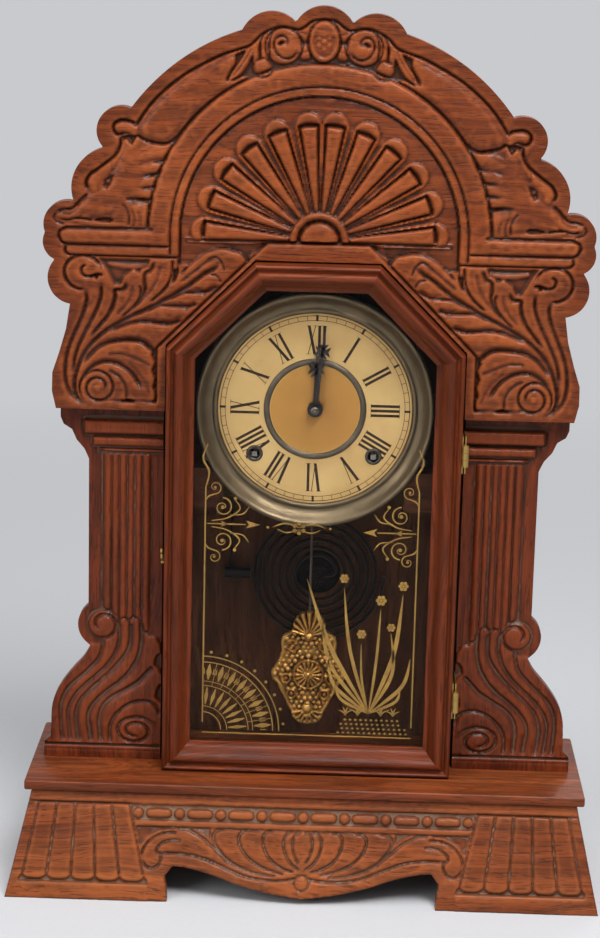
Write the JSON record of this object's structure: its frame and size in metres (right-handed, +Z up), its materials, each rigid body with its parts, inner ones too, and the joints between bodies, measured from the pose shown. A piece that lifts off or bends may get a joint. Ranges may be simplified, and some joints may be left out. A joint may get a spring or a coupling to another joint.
{
  "type": "mantel clock",
  "caption": "Carved oak kitchen clock with a hinged glazed door, paper dial, hands, pendulum, spring driven time and strike movement and coiled gong.",
  "frame": {"origin": "middle of the base on the surface it stands on", "axes": "+X to the clock's left side as the viewer's right, -Y toward the viewer, +Z up"},
  "size_m": [0.3808, 0.1284, 0.565],
  "materials": {
    "oak": "satin varnish over red-brown stain",
    "case_oak": "dark stain, dull",
    "door_oak": "satin varnish, redder and smoother than the carving",
    "pine": "bare, aged",
    "glass": "clear with gilt ornament",
    "brass": "aged",
    "old_nickel": "worn nickel over brass",
    "steel": "plain",
    "blued_steel": "blackened",
    "paper": "yellowed",
    "iron": "black"
  },
  "bodies": {
    "case": {"base_front": "oak", "base_side_left": "oak", "base_side_right": "oak", "base_rear_rail": "pine", "ledge": "oak", "glue_blocks": "pine", "case_side_left": "case_oak", "case_side_right": "case_oak", "case_top": "case_oak", "back_board": "pine", "front_frame": "case_oak", "door_stop": "case_oak", "pilaster_left": "oak", "pilaster_right": "oak", "crest_panel": "oak", "crest_backer": "pine", "movement_rails": "pine", "dial_blocks": "pine", "hinge_leaves_case": "brass", "catch_screw": "brass", "dial_pan": "old_nickel", "dial_paper": "paper", "dial_trim": "old_nickel", "wood_screws": "steel", "front_plate": "brass", "back_plate": "brass", "mainsprings": "blued_steel", "gong_base": "iron", "gong_coil": "steel"},
    "door": {"door_stile_left": "door_oak", "door_stile_right": "door_oak", "door_rail_bottom": "door_oak", "door_rail_top": "door_oak", "door_braces": "door_oak", "door_glass": "glass", "glass_beads": "door_oak", "hinge_leaves_door": "brass", "catch_pin": "brass"},
    "catch": {"catch_hook": "brass"},
    "centre": {"centre_wheel": "brass", "minute_hand": "blued_steel", "hand_nut": "brass"},
    "hour": {"hour_wheel": "brass", "hour_hand": "blued_steel"},
    "motion": {"minute_wheel": "brass"},
    "time_main": {"time_main_wheel": "brass"},
    "time_winding": {"time_winding_arbor": "steel"},
    "time_second": {"time_second_wheel": "brass"},
    "third": {"third_wheel": "brass"},
    "escape": {"escape_wheel": "brass"},
    "verge": {"verge": "steel"},
    "pendulum": {"pendulum_rod": "steel", "pendulum_bob": "brass"},
    "strike_main": {"strike_main_wheel": "brass"},
    "strike_winding": {"strike_winding_arbor": "steel"},
    "strike_second": {"strike_second_wheel": "brass"},
    "strike_third": {"strike_third_wheel": "brass"},
    "fly": {"fly": "brass"},
    "count": {"count_wheel": "brass"},
    "hammer": {"hammer": "steel"}
  },
  "joints": [
    {"name": "door_hinge", "type": "hinge", "parent": "case", "child": "door", "pos_m": [0.0956, -0.023, 0.2085], "axis": [0, 0, 1], "range_deg": [0, 110]},
    {"name": "catch_pivot", "type": "hinge", "parent": "case", "child": "catch", "pos_m": [-0.095, 0.0014, 0.213], "axis": [1, 0, 0], "range_deg": [-30, 14]},
    {"name": "minute_arbor", "type": "hinge", "parent": "case", "child": "centre", "pos_m": [0, 0.034, 0.3116], "axis": [0, 1, 0], "continuous": true},
    {"name": "hour_pipe", "type": "hinge", "parent": "case", "child": "hour", "pos_m": [0, 0.034, 0.3116], "axis": [0, 1, 0], "continuous": true},
    {"name": "minute_wheel_stud", "type": "hinge", "parent": "case", "child": "motion", "pos_m": [-0.00983, 0.034, 0.30472], "axis": [0, 1, 0], "continuous": true},
    {"name": "time_second_arbor", "type": "hinge", "parent": "case", "child": "time_second", "pos_m": [0.02036, 0.034, 0.30216], "axis": [0, 1, 0], "continuous": true},
    {"name": "time_main_spin", "type": "hinge", "parent": "case", "child": "time_main", "pos_m": [0.038, 0.034, 0.2816], "axis": [0, 1, 0], "continuous": true},
    {"name": "third_arbor", "type": "hinge", "parent": "case", "child": "third", "pos_m": [0.01003, 0.034, 0.32867], "axis": [0, 1, 0], "continuous": true},
    {"name": "escape_arbor", "type": "hinge", "parent": "case", "child": "escape", "pos_m": [0, 0.034, 0.3426], "axis": [0, 1, 0], "continuous": true},
    {"name": "time_winding_spin", "type": "hinge", "parent": "case", "child": "time_winding", "pos_m": [0.038, 0.034, 0.2816], "axis": [0, 1, 0], "continuous": true},
    {"name": "strike_winding_spin", "type": "hinge", "parent": "case", "child": "strike_winding", "pos_m": [-0.038, 0.034, 0.2816], "axis": [0, 1, 0], "continuous": true},
    {"name": "pendulum_swing", "type": "hinge", "parent": "case", "child": "pendulum", "pos_m": [0, 0.0104, 0.3656], "axis": [0, 1, 0], "range_deg": [-2.5, 2.5]},
    {"name": "verge_rock", "type": "hinge", "parent": "case", "child": "verge", "pos_m": [0, 0.0104, 0.3616], "axis": [0, 1, 0], "range_deg": [-2.9, 2.9]},
    {"name": "strike_third_arbor", "type": "hinge", "parent": "case", "child": "strike_third", "pos_m": [-0.03263, 0.034, 0.32916], "axis": [0, 1, 0], "continuous": true},
    {"name": "strike_second_arbor", "type": "hinge", "parent": "case", "child": "strike_second", "pos_m": [-0.02873, 0.034, 0.30706], "axis": [0, 1, 0], "continuous": true},
    {"name": "strike_main_spin", "type": "hinge", "parent": "case", "child": "strike_main", "pos_m": [-0.038, 0.034, 0.2816], "axis": [0, 1, 0], "continuous": true},
    {"name": "fly_arbor", "type": "hinge", "parent": "case", "child": "fly", "pos_m": [-0.02802, 0.034, 0.34637], "axis": [0, 1, 0], "continuous": true},
    {"name": "count_wheel_spin", "type": "hinge", "parent": "case", "child": "count", "pos_m": [-0.038, 0.034, 0.2816], "axis": [0, 1, 0], "continuous": true},
    {"name": "hammer_arbor", "type": "hinge", "parent": "case", "child": "hammer", "pos_m": [-0.054, 0.034, 0.3216], "axis": [0, 1, 0], "range_deg": [-0.6, 4.5]}
  ],
  "couplings": [
    {"joint": "hour_pipe", "follows": "minute_arbor", "ratio": 0.083333},
    {"joint": "minute_wheel_stud", "follows": "minute_arbor", "ratio": -0.33333},
    {"joint": "time_second_arbor", "follows": "minute_arbor", "ratio": -0.13333},
    {"joint": "time_main_spin", "follows": "minute_arbor", "ratio": 0.016667},
    {"joint": "third_arbor", "follows": "minute_arbor", "ratio": -9},
    {"joint": "escape_arbor", "follows": "minute_arbor", "ratio": 90},
    {"joint": "verge_rock", "follows": "pendulum_swing", "ratio": 1.1538},
    {"joint": "strike_second_arbor", "follows": "strike_third_arbor", "ratio": -0.13333},
    {"joint": "strike_main_spin", "follows": "strike_third_arbor", "ratio": 0.016667},
    {"joint": "fly_arbor", "follows": "strike_third_arbor", "ratio": -8},
    {"joint": "count_wheel_spin", "follows": "strike_third_arbor", "ratio": 0.012821}
  ]
}
